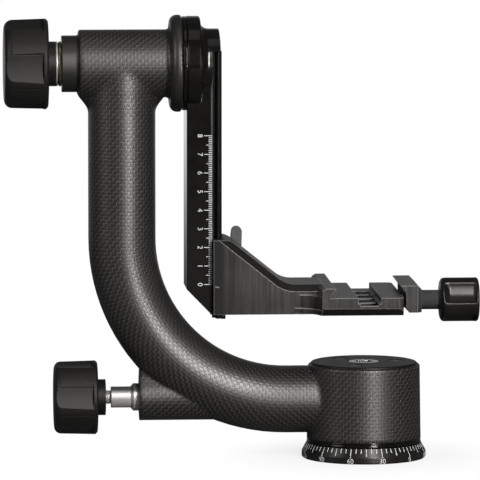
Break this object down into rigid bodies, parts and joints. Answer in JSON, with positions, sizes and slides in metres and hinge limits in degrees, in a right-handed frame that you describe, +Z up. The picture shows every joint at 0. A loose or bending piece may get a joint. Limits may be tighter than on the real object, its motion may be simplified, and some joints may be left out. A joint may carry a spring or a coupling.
{
  "type": "gimbal tripod head",
  "caption": "Side-mount gimbal tripod head with a bent carbon arm, panning base, swinging arm with dovetail rail, height-adjustable clamp platform and locking knobs.",
  "frame": {"origin": "on the pan axis, in the plane of the base's underside, at the mouth of the tripod thread", "axes": "+Z up along the pan axis, +X to the right along the tilt axis from the tilt knob towards the clamp knob, the picture's viewer at -Y"},
  "size_m": [0.2555, 0.076, 0.2395],
  "materials": {
    "carbon": "satin woven carbon",
    "gloss_black": "gloss black anodised",
    "matte_black": "matt black anodised",
    "platform_grey": "brushed dark anodised",
    "knob_black": "matt moulded",
    "clamp_black": "satin black anodised",
    "nickel": "satin",
    "black_screws": "black oxide",
    "brass": "satin",
    "friction_black": "matt",
    "grey_alloy": "satin",
    "hub_alloy": "machined"
  },
  "bodies": {
    "base": {"base_plate": "matte_black", "degree_ring": "matte_black", "tripod_thread_insert": "nickel", "base_plate_screws": "black_screws", "pan_spindle": "nickel", "pan_lower_race": "nickel", "pan_bearing_balls": "nickel", "spindle_washer": "nickel", "centre_screw": "nickel"},
    "j_arm": {"j_arm_shell": "carbon", "pan_hub": "hub_alloy", "pan_upper_race": "nickel", "base_cap": "gloss_black", "base_cap_screws": "black_screws", "base_trim_ring": "gloss_black", "pan_lock_bush": "nickel", "tilt_hub_sleeve": "hub_alloy", "tilt_outer_race_left": "nickel", "tilt_outer_race_right": "nickel"},
    "pan_brake": {"pan_push_rod": "nickel", "pan_brake_shoe": "brass"},
    "pan_knob": {"pan_lock_screw": "nickel", "pan_knob_core": "nickel", "pan_knob_grip": "knob_black"},
    "swing": {"tilt_shaft": "nickel", "tilt_inner_race_left": "nickel", "tilt_inner_race_right": "nickel", "tilt_balls_left": "nickel", "tilt_balls_right": "nickel", "tilt_seal_ring": "matte_black", "swing_arm": "gloss_black", "arm_screw": "black_screws", "rail_stop_screws": "black_screws"},
    "tilt_washers": {"tilt_brass_washer": "brass", "tilt_friction_washer": "friction_black", "tilt_thrust_washer": "nickel"},
    "tilt_knob": {"tilt_knob_core": "nickel", "tilt_knob_grip": "knob_black"},
    "platform": {"platform_bracket": "platform_grey"},
    "gib": {"rail_gib": "brass"},
    "lever": {"platform_lock_screw": "nickel", "platform_lock_lever": "grey_alloy", "lever_cap_screw": "black_screws"},
    "jaw": {"moving_jaw": "platform_grey", "jaw_guide_pins": "nickel"},
    "clamp": {"clamp_screw": "nickel", "clamp_screw_clip": "nickel", "clamp_knob": "clamp_black"}
  },
  "joints": [
    {"name": "pan_turn", "type": "hinge", "parent": "base", "child": "j_arm", "pos_m": [0, 0, 0.03], "axis": [0, 0, 1], "continuous": true},
    {"name": "pan_brake_slide", "type": "slide", "parent": "j_arm", "child": "pan_brake", "axis": [1, 0, 0], "range_m": [-0.001, 0.00025]},
    {"name": "pan_knob_turn", "type": "hinge", "parent": "pan_brake", "child": "pan_knob", "pos_m": [-0.15, 0, 0.0334], "axis": [1, 0, 0], "range_deg": [-361, 91]},
    {"name": "tilt_turn", "type": "hinge", "parent": "j_arm", "child": "swing", "pos_m": [-0.13, 0, 0.2135], "axis": [1, 0, 0], "continuous": true},
    {"name": "tilt_washer_slide", "type": "slide", "parent": "swing", "child": "tilt_washers", "axis": [1, 0, 0], "range_m": [-0.00125, 0.00024]},
    {"name": "tilt_knob_turn", "type": "hinge", "parent": "tilt_washers", "child": "tilt_knob", "pos_m": [-0.18, 0, 0.2135], "axis": [1, 0, 0], "range_deg": [-361, 71]},
    {"name": "platform_slide", "type": "slide", "parent": "swing", "child": "platform", "axis": [0, 0, 1], "range_m": [0, 0.076]},
    {"name": "gib_slide", "type": "slide", "parent": "platform", "child": "gib", "axis": [0, 1, 0], "range_m": [0, 0.000277]},
    {"name": "lever_turn", "type": "hinge", "parent": "gib", "child": "lever", "pos_m": [-0.0789, 0.024, 0.103], "axis": [0, 1, 0], "range_deg": [-1, 101]},
    {"name": "jaw_slide", "type": "slide", "parent": "platform", "child": "jaw", "axis": [1, 0, 0], "range_m": [-0.002, 0.004]},
    {"name": "clamp_knob_turn", "type": "hinge", "parent": "jaw", "child": "clamp", "pos_m": [0.05, 0, 0.085], "axis": [1, 0, 0], "range_deg": [-721, 1441]}
  ],
  "couplings": [
    {"joint": "pan_knob_turn", "follows": "pan_brake_slide", "rad_per_m": 6283.2},
    {"joint": "tilt_knob_turn", "follows": "tilt_washer_slide", "rad_per_m": 5026.5},
    {"joint": "lever_turn", "follows": "gib_slide", "rad_per_m": 6283.2},
    {"joint": "clamp_knob_turn", "follows": "jaw_slide", "rad_per_m": 6283.2}
  ]
}
